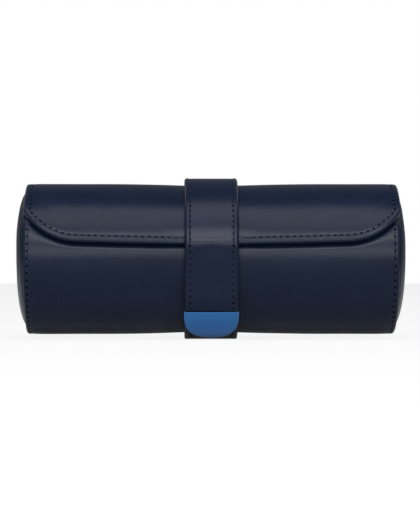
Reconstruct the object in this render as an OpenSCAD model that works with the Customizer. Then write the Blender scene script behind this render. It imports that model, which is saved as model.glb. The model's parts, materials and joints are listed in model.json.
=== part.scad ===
/* [Case] */
// Length of the leather wrap, between its two end edges
case_length = 198; // [180:1:220]
// Outer radius of the wrap, away from the strap
case_radius = 40.3; // [38:0.1:44]
// How far the strap draws the walls in
waist_depth = 0.84; // [0:0.02:1]
// Distance from the middle at which the walls are no longer drawn in
waist_reach = 60; // [45:1:75]
// Height of the flat on which the case stands, cut off the round band
base_flat = 0.5; // [0.4:0.05:0.8]

/* [Layers] */
// Thickness of the outer leather
leather = 1.2; // [1:0.1:1.4]
// Thickness of the padding under the leather of the wrap
padding = 1.1; // [0.8:0.1:1.4]
// Thickness of the stiff board in the wrap
case_board_t = 1.5; // [1.2:0.1:2]
// Thickness of the suede lining
suede = 0.5; // [0.4:0.1:0.8]
// Thickness of the board in the flap
flap_board_t = 0.7; // [0.5:0.1:0.9]
// Glue line between two layers
glue = 0.05; // [0.05:0.01:0.08]

/* [Mouth and flap] */
// Angle of the flap's hinge line, from the front horizontal over the top
hinge_angle = 128; // [124:1:132]
// Angle of the front lip of the case
lip_angle = 31; // [29:1:33]
// Height of the flap's lower edge above the axis of the case
flap_edge_height = 8.1; // [7.5:0.1:10]
// How far the flap reaches past each end of the wrap
flap_overhang = 1.2; // [0.6:0.1:1.8]
// Radius of the flap's two front corners
flap_corner = 34; // [28:0.5:36]
// Distance of a corner's centre from the flap's side
corner_inset = 29.2; // [24:0.2:31]
// Radius of the slow curve of the flap's lower edge
flap_bow = 1950; // [1500:10:4000]
// How far below the flap's lower edge the strap folds down
fold_drop = 2; // [1:0.1:2.5]
// Clearance between the closed flap and the lip
flap_gap = 0.25; // [0.2:0.05:0.4]
// Bare leather on either side of the hinge line, with no board
hinge_bare = 5; // [4:0.5:6]

/* [Ends] */
// Height of the padded dome over the end edge of the wrap
dome_height = 5.5; // [4:0.5:7]
// Depth of the end board behind the end edge of the wrap
end_recess = 3; // [2.5:0.25:4]
// Thickness of an end board
end_board_t = 2; // [1.5:0.25:3]
// Fullness of the dome, as the exponent of its curve
dome_fullness = 2.6; // [2:0.1:3.2]

/* [Dividers and cushions] */
// Thickness of a divider's board
divider_board_t = 2; // [1.5:0.25:2.5]
// Height of a divider above the axis, towards the mouth
divider_rise = 20; // [14:1:21]
// Radius of a divider's two top corners
divider_corner = 6; // [3:0.5:8]
// Width of a cushion along the case
cushion_width = 55; // [48:1:58]
// Depth of a cushion across the mouth
cushion_depth = 52; // [46:1:53]
// Height of a cushion towards the mouth
cushion_height = 48; // [42:1:50]
// Thickness of a cushion's suede cover
cushion_cover_t = 1.2; // [0.8:0.1:1.6]

/* [Strap] */
// Width of the strap and the band
strap_width = 28.4; // [24:0.2:32]
// Thickness of each of the strap's two leathers
strap_leather = 1.4; // [1:0.1:1.6]
// Thickness of the stiffener between them, and of the metal tab
strap_filler_t = 0.8; // [0.7:0.1:1]
// Length of the strap on either side of the hinge line that bends with the flap
strap_bend = 9; // [8.5:0.5:11]
// Clearance between the free end of the strap and what it closes on
strap_gap = 0.3; // [0.3:0.05:0.4]
// Angle below the front horizontal at which the strap meets the band
meet_angle = 31; // [30:0.5:32]
// Radius of the strap's bend over the end of the band
meet_bend = 9; // [6:0.5:12]
// How far the centre of the free end's arc lies behind the band's, which lifts its tip
tail_ease = 4; // [3:0.5:5]

/* [Tab] */
// Width of the metal tab
tab_width = 29; // [28.6:0.2:30]
// Angle below the front horizontal of the strap leather's end over the tab
tab_top_angle = 35.7; // [35.5:0.1:38]
// Angle below the front horizontal of the tab's tip
tab_tip_angle = 61.7; // [58:0.1:62.5]
// Fullness of the tab's round end, as the exponent of its curve
tab_fullness = 2.2; // [2:0.1:2.6]
// Radius of a rivet's shank
rivet_r = 0.8; // [0.6:0.1:1]
// Distance between the two rivets
rivet_spacing = 16; // [12:1:20]
// Radius of each magnet
magnet_r = 4; // [3:0.5:4.5]
// Thickness of each magnet
magnet_t = 0.7; // [0.5:0.05:0.75]
// Angle below the front horizontal at which the magnets lie
magnet_angle = 49; // [48:0.5:50]

/* [Hidden] */
$fn = 96;

// Colours of the finishes
navy = "#1d2434";
navy_edge = "#161b28";
suede_grey = "#77808f";
board_grey = "#8b8478";
foam_white = "#d9d6cc";
tab_blue = "#2f6aa8";
steel_grey = "#9a9da3";

// Angles go from the front horizontal, over the top, to the back. A point of a
// cross-section is [forward, up] from the axis of the case.
function dir(a) = [cos(a), sin(a)];
function arc_length_angle(len, r) = len / r * 180 / PI;

// Layers of the wrap, from the outside in
case_skin_in = case_radius - leather;
padding_out = case_skin_in - glue;
padding_in = padding_out - padding;
board_out = padding_in - glue;
board_in = board_out - case_board_t;
lining_out = board_in - glue;
lining_in = lining_out - suede;
half_case = case_length / 2;
end_face = half_case - end_recess;

// The flap is a shell of a slightly larger circle that touches the wrap at the hinge line
flap_length = case_length + 2 * flap_overhang;
flap_stack = leather + flap_board_t + suede + 2 * glue;
flap_shift = (flap_stack + flap_gap) / (1 - cos(hinge_angle - lip_angle));
flap_radius = case_radius + flap_shift;
flap_centre = -flap_shift * dir(hinge_angle);
hinge_slit = 0.1;

// The strap and the band lie on the drawn-in waist
strap_stack = 2 * strap_leather + strap_filler_t + 2 * glue;
filler_in = strap_leather + glue;
outer_in = filler_in + strap_filler_t + glue;
seat_gap = 0.1;
band_in = case_radius - waist_depth + seat_gap;
band_out = band_in + strap_stack;
strap_in = flap_radius - waist_depth + seat_gap;
bend_angle_case = arc_length_angle(strap_bend, case_radius);
bend_angle_flap = arc_length_angle(strap_bend, flap_radius);
axis_height = band_out - base_flat;

// The free end of the strap: a fold just below the flap's edge, a straight run, a
// bend over the end of the band, and an arc along the band that eases away from it
edge_angle = asin((flap_edge_height - fold_drop - flap_centre[1]) / strap_in);
edge_point = flap_centre + strap_in * dir(edge_angle);
tail_in = band_out + strap_gap;
bend_centre = (tail_in - meet_bend) * dir(-meet_angle);
to_edge = edge_point - bend_centre;
run_angle = atan2(to_edge[1], to_edge[0]) - acos(meet_bend / norm(to_edge));
tail_centre = -tail_ease * dir(-meet_angle);
tail_r = tail_in + tail_ease;
tail_slit = 0.1;

// The tab
tab_in = tail_r + filler_in;
tab_middle = (tab_top_angle + tab_tip_angle) / 2;
rivet_angle = (meet_angle + tab_top_angle) / 2;
rivet_head_r = 2 * rivet_r;
rivet_head_t = 0.4;
rivet_fit = 0.05;
magnet_fit = 0.1;

// Ends
end_radius = case_radius - flap_stack - 2 * flap_gap;
hem_in = end_radius + 0.1;
end_lining_face = end_face - end_board_t - glue - suede;
mouth_margin = 1;

// Dividers and cushions
mouth_angle = (hinge_angle + lip_angle) / 2;
divider_t = divider_board_t + 2 * (suede + glue);
bay_length = (2 * (end_lining_face - glue) - 2 * divider_t) / 3;
bay_pitch = bay_length + divider_t;
cushion_seat_gap = 0.3;

// ---------------------------------------------------------------- helpers

// How far the walls are drawn in at x
waist_flat = strap_width / 2 + 1;
function waist(x) =
    abs(x) >= waist_reach ? 0
    : waist_depth * pow((waist_reach - max(abs(x), waist_flat)) / (waist_reach - waist_flat), 2);

// Stations along a wall of the given half length, close together where it curves
waist_steps = 6;
function stations(half) = concat(
    [-half],
    [for (i = [0 : waist_steps]) -waist_reach + (waist_reach - waist_flat) * i / waist_steps],
    [for (i = [0 : waist_steps]) waist_flat + (waist_reach - waist_flat) * i / waist_steps],
    [half]
);
function wall_line(r, half) = [for (x = stations(half)) [r - waist(x), x]];
function reversed(list) = [for (i = [len(list) - 1 : -1 : 0]) list[i]];

// Points of an arc, no more than two degrees apart
function arc(centre, r, a0, a1) =
    r <= 0 ? [centre] :
    let (n = ceil(abs(a1 - a0) / 2))
    [for (i = [0 : n]) centre + r * dir(a0 + (a1 - a0) * i / n)];

// Stands a cross-section, drawn as [forward, up], along the case
module along_case(centre = [0, 0]) {
    translate([0, -centre[0], axis_height + centre[1]])
        rotate([90, 0, -90])
            children();
}

// Turns a profile, drawn as [radius, along], from angle a0 to a1
module turned(a0, a1, centre = [0, 0]) {
    along_case(centre)
        rotate([0, 0, a0])
            rotate_extrude(angle = a1 - a0)
                children();
}

// A drawn-in wall between two radii
module wall(r0, r1, half, a0, a1, centre = [0, 0]) {
    turned(a0, a1, centre)
        polygon(concat(wall_line(r1, half), reversed(wall_line(r0, half))));
}

// A strip of the strap's width on an arc
module strip_arc(r0, r1, a0, a1, centre = [0, 0], width = strap_width) {
    turned(a0, a1, centre)
        translate([r0, -width / 2])
            square([r1 - r0, width]);
}

// Puts a piece at angle a, with its z axis pointing outwards and its y axis
// along the wall, towards the top of the front
module at_angle(a, centre = [0, 0]) {
    translate([0, -centre[0], axis_height + centre[1]])
        rotate([90 - a, 0, 0])
            children();
}

module mirrored_if(left) {
    mirror([left ? 1 : 0, 0, 0])
        children();
}

// ---------------------------------------------------------------- wrap

hem_step = arc_length_angle(leather, case_radius);
// The leather turned in over the lip stands this far past the skin's edge
lip_bead = 0.1;
bead_step = arc_length_angle(lip_bead, case_radius);
slit_case = arc_length_angle(hinge_slit / 2, case_radius);

// A leather skin between two radii with both ends turned in
module skin_with_hems(r0, r1, a0, a1) {
    inner = half_case - end_recess + glue;
    turned(a0, a1)
        polygon(concat(
            wall_line(r1, half_case),
            [[hem_in, half_case], [hem_in, inner]],
            reversed(wall_line(r0, inner)),
            [[hem_in, -inner], [hem_in, -half_case]]
        ));
}

module case_leather() {
    color(navy) {
        skin_with_hems(case_skin_in, case_radius, hinge_angle + slit_case, 360 + lip_angle + hem_step);
        wall(lining_in, case_radius - leather / 2, half_case - leather / 2,
             360 + lip_angle, 360 + lip_angle + hem_step + bead_step);
    }
}

bare_angle = arc_length_angle(hinge_bare, case_radius);
board_start = hinge_angle + bare_angle;

module case_padding() {
    color(foam_white)
        wall(padding_in, padding_out, end_face, board_start, 360 + lip_angle - 0.1);
}

module case_board() {
    color(board_grey)
        wall(board_in, board_out, end_face, board_start, 360 + lip_angle - 0.1);
}

lining_turn = arc_length_angle(suede, case_radius);

module case_lining() {
    half = end_lining_face - glue;
    bare_out = case_skin_in - glue;
    color(suede_grey) {
        wall(lining_in, lining_out, half, board_start - glue - lining_turn, 360 + lip_angle - 0.1);
        wall(lining_in, bare_out, half, board_start - glue - lining_turn, board_start - glue);
        wall(bare_out - suede, bare_out, half, hinge_angle + slit_case, board_start - glue);
    }
}

// ---------------------------------------------------------------- ends

// Half of the dome's outline, as [radius, along], at an inset from its outside
dome_steps = 14;
function dome_line(inset) =
    let (a = end_radius - inset, h = dome_height + end_recess - glue - inset, p = 2 / dome_fullness)
    [for (i = [0 : dome_steps])
        let (t = 90 * i / dome_steps)
        [a * pow(sin(t), p), end_face + glue + h * pow(cos(t), p)]];

module dome(inset) {
    along_case()
        mirror([0, 0, 1])
            rotate_extrude()
                polygon(concat([[0, end_face + glue]], dome_line(inset)));
}

module disc(r, x0, x1) {
    along_case()
        translate([0, 0, -x1])
            cylinder(r = r, h = x1 - x0);
}

module end_board() {
    color(board_grey)
        disc(board_in - glue, end_face - end_board_t, end_face);
}

module end_padding() {
    color(foam_white)
        dome(leather + glue);
}

// The cover of an end: the dome's skin, and the part turned over the board's edge
// in the mouth, where the flap closes over it
module end_leather() {
    flange_base = end_lining_face;
    color(navy) {
        difference() {
            dome(0);
            dome(leather);
        }
        turned(lip_angle + hem_step + mouth_margin, hinge_angle - mouth_margin)
            translate([board_in + 0.1, -(end_face + leather / 2)])
                square([end_radius - board_in - 0.2, end_face + leather / 2 - flange_base]);
    }
}

module end_lining() {
    color(suede_grey)
        disc(board_in - glue, end_lining_face, end_lining_face + suede);
}

// ---------------------------------------------------------------- dividers

// Outline of a divider, standing towards the mouth, at an inset from its edge
module divider_outline(inset) {
    r = lining_in - waist_depth - glue - inset;
    corner = divider_corner;
    top = divider_rise - inset;
    reach = sqrt(pow(r - corner + inset, 2) - pow(divider_rise - corner, 2));
    rotate([0, 0, mouth_angle - 90])
        union() {
            intersection() {
                circle(r = r);
                translate([-r, -r - 1])
                    square([2 * r, r + 1 + divider_rise - corner]);
            }
            translate([-reach, 0])
                square([2 * reach, top]);
            for (s = [-1, 1])
                translate([s * reach, divider_rise - corner])
                    circle(r = corner - inset);
        }
}

module divider_cover() {
    cover = suede + glue;
    color(suede_grey)
        difference() {
            translate([bay_pitch / 2 + divider_t / 2, 0, 0])
                along_case()
                    linear_extrude(height = divider_t)
                        divider_outline(0);
            translate([bay_pitch / 2 + divider_t / 2 - suede, 0, 0])
                along_case()
                    linear_extrude(height = divider_t - 2 * suede)
                        divider_outline(suede);
        }
}

module divider_core() {
    color(board_grey)
        translate([bay_pitch / 2 + divider_board_t / 2, 0, 0])
            along_case()
                linear_extrude(height = divider_board_t)
                    divider_outline(suede + glue);
}

// ---------------------------------------------------------------- band

band_start = hinge_angle + bend_angle_case;
band_end = 360 - meet_angle - 0.5;

// One layer of the band, between two heights over the wall
module band_layer(h0, h1) {
    difference() {
        strip_arc(band_in + h0, band_in + h1, band_start, band_end);
        translate([-strap_width, -case_radius, -2])
            cube([2 * strap_width, 2 * case_radius, 2]);
    }
}

// The band curves down by this much under the edge of a flat magnet
magnet_sag = band_in - sqrt(pow(band_in, 2) - pow(magnet_r, 2));
magnet_dip = 0.5;
// The magnet in the band lies in its filler, behind the one in the free end
facing = tail_centre + tail_r * dir(-magnet_angle);
band_magnet_angle = atan2(facing[1], facing[0]);
module band_magnet_space(r, t) {
    at_angle(band_magnet_angle)
        translate([0, 0, band_in + filler_in + (strap_filler_t - t) / 2 - magnet_sag])
            cylinder(r = r, h = t);
}

module band_outer() {
    color(navy)
        band_layer(outer_in, strap_stack);
}

module band_filler() {
    color(board_grey)
        difference() {
            band_layer(filler_in, outer_in - glue);
            band_magnet_space(magnet_r + magnet_fit, 3 * magnet_t);
        }
}

module band_backing() {
    color(navy_edge)
        difference() {
            band_layer(0, strap_leather);
            band_magnet_space(magnet_r + magnet_fit, strap_filler_t + magnet_dip);
        }
}

module band_magnet() {
    color(steel_grey)
        band_magnet_space(magnet_r, magnet_t);
}

// The stretch of the strap that bends with the flap's hinge
function span_line(h) = concat(
    arc([0, 0], band_in + h, hinge_angle + bend_angle_case - 0.1, hinge_angle),
    arc(flap_centre, strap_in + h, hinge_angle - 1, hinge_angle - bend_angle_flap + 0.1)
);
module strap_hinge_span() {
    color(navy)
        translate([strap_width / 2, 0, 0])
            along_case()
                linear_extrude(height = strap_width)
                    polygon(concat(span_line(strap_stack), reversed(span_line(0))));
}

// ---------------------------------------------------------------- flap

// Front view of the flap at an inset from its edge, over the axis of the case. The
// corners run into the slow curve almost tangentially
corner_meet = 0.03;
module flap_outline(inset) {
    half = flap_length / 2;
    corner_x = half - corner_inset;
    corner_up = flap_edge_height + flap_bow - corner_meet
        - sqrt(pow(flap_bow - flap_corner, 2) - pow(corner_x, 2));
    tall = 2 * case_radius;
    intersection() {
        union() {
            translate([-half, corner_up])
                square([2 * half, tall - corner_up]);
            translate([-corner_x, flap_edge_height])
                square([2 * corner_x, tall - flap_edge_height]);
            for (s = [-1, 1])
                translate([s * corner_x, corner_up])
                    circle(r = flap_corner - inset);
        }
        translate([-half + inset, flap_edge_height])
            square([2 * (half - inset), tall]);
        translate([0, flap_edge_height + flap_bow])
            circle(r = flap_bow - inset, $fn = 720);
    }
}

module flap_prism(inset) {
    translate([0, 2 * case_radius, axis_height])
        rotate([90, 0, 0])
            linear_extrude(height = 4 * case_radius)
                flap_outline(inset);
}

slit_flap = arc_length_angle(hinge_slit / 2, flap_radius);
flap_board_stop = hinge_angle - arc_length_angle(hinge_bare, flap_radius);
flap_low = edge_angle - 12;

// A layer of the flap, between two depths under its outside
module flap_layer(d0, d1, inset, stop, start = flap_low) {
    intersection() {
        wall(flap_radius - d1, flap_radius - d0, flap_length / 2 + 2, start, stop, flap_centre);
        flap_prism(inset);
    }
}

module flap_leather() {
    color(navy)
        difference() {
            flap_layer(0, flap_stack, 0, hinge_angle - slit_flap);
            flap_layer(leather, flap_stack + 1, leather, hinge_angle + 1, flap_low - 1);
        }
}

module flap_board() {
    color(board_grey)
        flap_layer(leather + glue, leather + glue + flap_board_t, leather + glue, flap_board_stop);
}

module flap_lining() {
    inset = leather + glue;
    top = flap_stack - suede;
    turn_angle = arc_length_angle(suede, flap_radius);
    color(suede_grey) {
        flap_layer(top, flap_stack, inset, flap_board_stop + glue + turn_angle);
        flap_layer(inset, flap_stack, inset, flap_board_stop + glue + turn_angle,
                   flap_board_stop + glue);
        flap_layer(inset, inset + suede, inset, hinge_angle - slit_flap, flap_board_stop + glue);
    }
}

// One layer of the strap on the flap, between two heights over the flap
tail_slit_angle = arc_length_angle(tail_slit, strap_in);
module strap_layer(h0, h1) {
    strip_arc(strap_in + h0, strap_in + h1,
              edge_angle + tail_slit_angle, hinge_angle - bend_angle_flap, flap_centre);
}

module strap_outer() {
    color(navy)
        strap_layer(outer_in, strap_stack);
}

module strap_filler() {
    color(board_grey)
        strap_layer(filler_in, outer_in - glue);
}

module strap_backing() {
    color(navy_edge)
        strap_layer(0, strap_leather);
}

// ---------------------------------------------------------------- free end of the strap

// The free end's line at a height h, down to an angle below the front horizontal
function tail_line(h, tip) = concat(
    arc(edge_point, h, edge_angle, run_angle),
    arc(bend_centre, meet_bend + h, run_angle, -min(meet_angle, tip)),
    tip > meet_angle ? arc(tail_centre, tail_r + h, -meet_angle - 1, -tip) : []
);

// A layer of the free end between two heights
module tail_layer(h0, h1, tip) {
    translate([strap_width / 2, 0, 0])
        along_case()
            linear_extrude(height = strap_width)
                polygon(concat(tail_line(h1, tip), reversed(tail_line(h0, tip))));
}

// Outline of the tab, seen square on at its middle, at an inset from its edge
tab_steps = 28;
module tab_outline(inset) {
    outer_r = tab_in + strap_filler_t;
    shoulder = outer_r * sin(tab_middle - tab_top_angle - 2);
    tip = outer_r * sin(tab_tip_angle - tab_middle);
    up = outer_r;
    half = tab_width / 2 - inset;
    p = 2 / tab_fullness;
    polygon(concat(
        [[half, up], [-half, up]],
        [for (i = [0 : tab_steps])
            let (t = 180 * i / tab_steps, c = cos(t), s = sin(t))
            [-half * sign(c) * pow(abs(c), p),
             shoulder - (shoulder + tip - inset) * pow(s, p)]]
    ));
}

module tab_prism(inset) {
    at_angle(-tab_middle, tail_centre)
        translate([0, 0, tail_r / 4])
            linear_extrude(height = tail_r)
                tab_outline(inset);
}

module rivet_holes(r, z0, z1) {
    for (s = [-1, 1])
        at_angle(-rivet_angle, tail_centre)
            translate([s * rivet_spacing / 2, 0, z0])
                cylinder(r = r, h = z1 - z0);
}

module tail_outer() {
    color(navy)
        tail_layer(outer_in, strap_stack, tab_top_angle);
}

module tail_filler() {
    color(board_grey)
        tail_layer(filler_in, outer_in - glue, meet_angle - 0.2);
}

tail_magnet_z = tail_r + (strap_leather - magnet_t) / 2 - 0.05;

module tail_backing() {
    head_top = tail_r + rivet_head_t + rivet_fit;
    edge_back = (tab_width - strap_width) / 2 - 0.1;
    color(navy_edge)
        difference() {
            intersection() {
                tail_layer(0, strap_leather, tab_tip_angle + 4);
                tab_prism(edge_back);
            }
            rivet_holes(rivet_r + rivet_fit, tail_r - 1, tab_in + 1);
            rivet_holes(rivet_head_r + rivet_fit, tail_r - 1, head_top);
            at_angle(-magnet_angle, tail_centre)
                translate([0, 0, tail_magnet_z - glue])
                    cylinder(r = magnet_r + magnet_fit, h = strap_leather);
        }
}

module tab_plate() {
    color(tab_blue)
        difference() {
            intersection() {
                strip_arc(tab_in, tab_in + strap_filler_t, -tab_tip_angle - 4, -meet_angle - 0.1,
                          tail_centre, tab_width + 2);
                tab_prism(0);
            }
            rivet_holes(rivet_r + rivet_fit, tab_in - 1, tab_in + strap_filler_t + 1);
        }
}

module tab_rivets() {
    color(steel_grey) {
        rivet_holes(rivet_head_r, tail_r + rivet_fit, tail_r + rivet_head_t);
        rivet_holes(rivet_r, tail_r + rivet_fit, tab_in + strap_filler_t - rivet_fit);
    }
}

module tail_magnet() {
    color(steel_grey)
        at_angle(-magnet_angle, tail_centre)
            translate([0, 0, tail_magnet_z])
                cylinder(r = magnet_r, h = magnet_t);
}

// ---------------------------------------------------------------- cushions

// Rings of a crowned pillow along x: full in the middle, drawn in at its ends
pillow_rings = 8;
pillow_sides = 28;
pillow_ends = 5;
function pillow_scale(t) = pow(1 - pow(abs(t), pillow_ends), 1 / 2.5);

module pillow(inset) {
    half_w = cushion_width / 2 - inset;
    half_d = cushion_depth / 2 - inset;
    half_h = cushion_height / 2 - inset;
    stops = [for (i = [0 : pillow_rings]) sin(-78 + 156 * i / pillow_rings)];
    rings = [for (t = stops)
        [for (j = [0 : pillow_sides - 1])
            let (a = 360 * j / pillow_sides, k = pillow_scale(t))
            [t * half_w / sin(78), half_d * cos(a) * (0.8 + 0.2 * k), half_h * sin(a) * (0.8 + 0.2 * k)]]];
    points = [for (ring = rings) for (p = ring) p];
    last = pillow_rings * pillow_sides;
    polyhedron(
        points = points,
        faces = concat(
            [[for (j = [0 : pillow_sides - 1]) j]],
            [[for (j = [pillow_sides - 1 : -1 : 0]) last + j]],
            [for (i = [0 : pillow_rings - 1]) for (j = [0 : pillow_sides - 1])
                let (k = (j + 1) % pillow_sides, a = i * pillow_sides, b = a + pillow_sides)
                each [[a + j, b + j, b + k], [a + j, b + k, a + k]]]
        )
    );
}

module placed_cushion(index) {
    x = abs(index) * bay_pitch;
    seat = lining_in - waist(max(x - cushion_width / 3, 0)) - cushion_seat_gap;
    back = -(seat - cushion_height / 2) * dir(mouth_angle);
    translate([index * bay_pitch, -back[0], axis_height + back[1]])
        rotate([90 - mouth_angle, 0, 0])
            children();
}

module cushion_cover(index) {
    color(suede_grey)
        placed_cushion(index)
            difference() {
                pillow(0);
                pillow(cushion_cover_t);
            }
}

module cushion_core(index) {
    color(foam_white)
        placed_cushion(index)
            pillow(cushion_cover_t + 2 * glue);
}

// ---------------------------------------------------------------- nodes

case_leather();
case_padding();
case_board();
case_lining();
mirrored_if(true) end_board();  // end_board_left
mirrored_if(false) end_board();  // end_board_right
mirrored_if(true) end_padding();  // end_padding_left
mirrored_if(false) end_padding();  // end_padding_right
mirrored_if(true) end_leather();  // end_leather_left
mirrored_if(false) end_leather();  // end_leather_right
mirrored_if(true) end_lining();  // end_lining_left
mirrored_if(false) end_lining();  // end_lining_right
mirrored_if(true) divider_core();  // divider_core_left
mirrored_if(false) divider_core();  // divider_core_right
mirrored_if(true) divider_cover();  // divider_cover_left
mirrored_if(false) divider_cover();  // divider_cover_right
band_outer();
band_filler();
band_backing();
band_magnet();
strap_hinge_span();
flap_leather();
flap_board();
flap_lining();
strap_outer();
strap_filler();
strap_backing();
tail_outer();
tail_filler();
tail_backing();
tab_plate();
tab_rivets();
tail_magnet();
cushion_cover(-1);  // cushion_cover_left
cushion_cover(0);  // cushion_cover_centre
cushion_cover(1);  // cushion_cover_right
cushion_core(-1);  // cushion_core_left
cushion_core(0);  // cushion_core_centre
cushion_core(1);  // cushion_core_right
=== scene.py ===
"""The looks of a rolled leather watch case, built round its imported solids.

Lengths are in millimetres until a piece is finished, when it is scaled to metres.
A cross-section point is (forward, up) from the axis of the case, and angles go
from the front horizontal, over the top, to the back.
"""

import json
import math

import bmesh
import bpy
from bpy.props import FloatProperty, FloatVectorProperty, IntProperty, PointerProperty
from mathutils import Matrix, Vector, noise


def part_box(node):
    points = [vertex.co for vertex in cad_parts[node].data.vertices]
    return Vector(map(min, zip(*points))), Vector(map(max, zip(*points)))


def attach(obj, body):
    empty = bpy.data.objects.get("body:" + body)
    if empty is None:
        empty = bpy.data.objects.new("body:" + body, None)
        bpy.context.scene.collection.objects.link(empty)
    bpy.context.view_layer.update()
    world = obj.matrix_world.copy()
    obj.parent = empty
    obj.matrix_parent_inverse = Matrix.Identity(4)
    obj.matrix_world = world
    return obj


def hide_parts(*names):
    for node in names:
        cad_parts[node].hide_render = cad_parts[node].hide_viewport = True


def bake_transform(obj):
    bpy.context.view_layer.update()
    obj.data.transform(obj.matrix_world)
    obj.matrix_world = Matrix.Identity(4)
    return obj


bl_info = {
    "name": "Rolled Watch Case",
    "version": (1, 0, 0),
    "blender": (4, 5, 0),
    "location": "View3D > Sidebar > Watch Case",
    "description": "Builds a leather watch travel case with its flap, strap and cushions",
    "category": "Object",
}

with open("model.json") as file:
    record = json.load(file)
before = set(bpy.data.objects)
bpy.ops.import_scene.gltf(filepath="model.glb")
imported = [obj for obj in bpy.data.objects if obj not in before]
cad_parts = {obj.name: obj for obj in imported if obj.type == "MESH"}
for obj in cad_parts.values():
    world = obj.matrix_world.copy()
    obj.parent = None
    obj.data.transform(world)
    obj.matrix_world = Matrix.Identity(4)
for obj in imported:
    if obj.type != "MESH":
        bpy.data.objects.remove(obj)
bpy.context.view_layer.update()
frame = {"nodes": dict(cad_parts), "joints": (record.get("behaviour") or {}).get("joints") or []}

MM = 0.001
SIDES = ((-1, "left"), (1, "right"))


# ---------------------------------------------------------------- sizes from the solids


def box_mm(node):
    """A node's lowest and highest corners, in millimetres."""
    low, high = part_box(node)
    return low / MM, high / MM


def joint(name):
    return next(j for j in frame["joints"] if j["name"] == name)


def direction(angle):
    """Unit cross-section vector at an angle."""
    return Vector((math.cos(math.radians(angle)), math.sin(math.radians(angle))))


def angle_of(point):
    """Angle of a cross-section point."""
    return math.degrees(math.atan2(point.y, point.x))


wrap_low, wrap_high = box_mm("case_leather")
CASE_RADIUS = wrap_high.y
AXIS = wrap_low.z + CASE_RADIUS
HALF_CASE = wrap_high.x
LINING_IN = CASE_RADIUS - 4.45
LIP_ANGLE = 31
END_RADIUS = box_mm("end_leather_right")[1].y
END_FACE = box_mm("end_board_right")[1].x
DOME_TOP = box_mm("end_leather_right")[1].x

# The walls are drawn in by WAIST_DEPTH under the strap, and fade out at WAIST_REACH
WAIST_DEPTH = 0.84
WAIST_REACH = 60
WAIST_FLAT = 15.2

# The flap is an arc round its own centre, from the hinge line to its bowed edge
flap_low, flap_high = box_mm("flap_leather")
FLAP_SKEW = 0.5
HALF_FLAP = flap_high.x - FLAP_SKEW
flap_pin = Vector(joint("flap_hinge")["pos_m"]) / MM
HINGE_ANGLE = angle_of(Vector((-flap_pin.y, flap_pin.z - AXIS)))
HINGE_BARE = 5
FLAP_SHIFT = (flap_high.z - AXIS - CASE_RADIUS) / (1 - math.sin(math.radians(HINGE_ANGLE)))
FLAP_RADIUS = CASE_RADIUS + FLAP_SHIFT
FLAP_CENTRE = -FLAP_SHIFT * direction(HINGE_ANGLE)
FLAP_STACK = 2.5
FLAP_EDGE = flap_low.z - AXIS
FLAP_BOW = 1950
FLAP_CORNER = 34
FLAP_CORNER_X = HALF_FLAP - 29.2

# The strap over the flap and the band behind it lie on the drawn-in walls
STRAP_HALF = box_mm("band_outer")[1].x
BASE_FLAT = 0.5
BAND_IN = CASE_RADIUS - WAIST_DEPTH + 0.1
STRAP_THICK = AXIS + BASE_FLAT - BAND_IN
STRAP_IN = FLAP_RADIUS - WAIST_DEPTH + 0.1
STRAP_BEND = 9
FOLD = 9
FOLD_DROP = 0.7
FOLD_DISH = 0.3
EDGE_ANGLE = math.degrees(math.asin((FLAP_EDGE - FOLD_DROP - FLAP_CENTRE.y) / STRAP_IN))
EDGE_POINT = FLAP_CENTRE + STRAP_IN * direction(EDGE_ANGLE)

# The free end bends on to the band at MEET_ANGLE under the front, and carries the tab
MEET_ANGLE = 31
MEET_BEND = 9
TAIL_EASE = 4
TAIL_IN = BAND_IN + STRAP_THICK + 0.3
TAIL_R = TAIL_IN + TAIL_EASE
TAIL_CENTRE = -TAIL_EASE * direction(-MEET_ANGLE)
BEND_CENTRE = (TAIL_IN - MEET_BEND) * direction(-MEET_ANGLE)
TAB_TOP = 36.9
TAB_TIP = 61.7
TAB_HALF = box_mm("tab_plate")[1].x
TAB_FULLNESS = 2.35
TAB_NECK = 1.9
PLATE_IN = TAIL_R + 1.45
PLATE_THICK = 0.8

# Stitch rows, as distances in from the edge that each follows
END_STITCH = 2.1
FLAP_STITCH = 3.4
STRAP_STITCH = 3.0
GROOVE_DEPTH = 0.16
GROOVE_WIDTH = 0.6


def waist(x):
    """How far the strap draws the walls in at x."""
    if abs(x) >= WAIST_REACH:
        return 0.0
    reach = (WAIST_REACH - max(abs(x), WAIST_FLAT)) / (WAIST_REACH - WAIST_FLAT)
    return WAIST_DEPTH * reach * reach


def arc_angle(length, radius):
    """Angle that an arc of this length takes up."""
    return math.degrees(length / radius)


def place(x, point):
    """World position of a cross-section point at x."""
    return Vector((x, -point.x, AXIS + point.y))


def place_normal(angle):
    """World direction outwards at an angle."""
    return Vector((0, -math.cos(math.radians(angle)), math.sin(math.radians(angle))))


def smoothstep(a, b, x):
    t = min(max((x - a) / (b - a), 0.0), 1.0)
    return t * t * (3 - 2 * t)


def handmade(position, amount=0.1, size=26.0):
    """The slight unevenness of leather over padding."""
    return amount * noise.noise(position / size)


# ---------------------------------------------------------------- mesh helpers


def finish_mesh(name, bm, materials, sharp=42.0):
    """Turns a bmesh in millimetres into an object in metres, smooth except at sharp edges."""
    bmesh.ops.scale(bm, vec=(MM, MM, MM), verts=bm.verts)
    mesh = bpy.data.meshes.new(name)
    bm.to_mesh(mesh)
    bm.free()
    mesh.shade_smooth()
    mesh.set_sharp_from_angle(angle=math.radians(sharp))
    rest = mesh.attributes.new("rest", "FLOAT_VECTOR", "POINT")
    rest.data.foreach_set("vector", [c for v in mesh.vertices for c in v.co])
    for material in materials:
        mesh.materials.append(material)
    piece = bpy.data.objects.new(name, mesh)
    bpy.context.scene.collection.objects.link(piece)
    return piece


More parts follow.
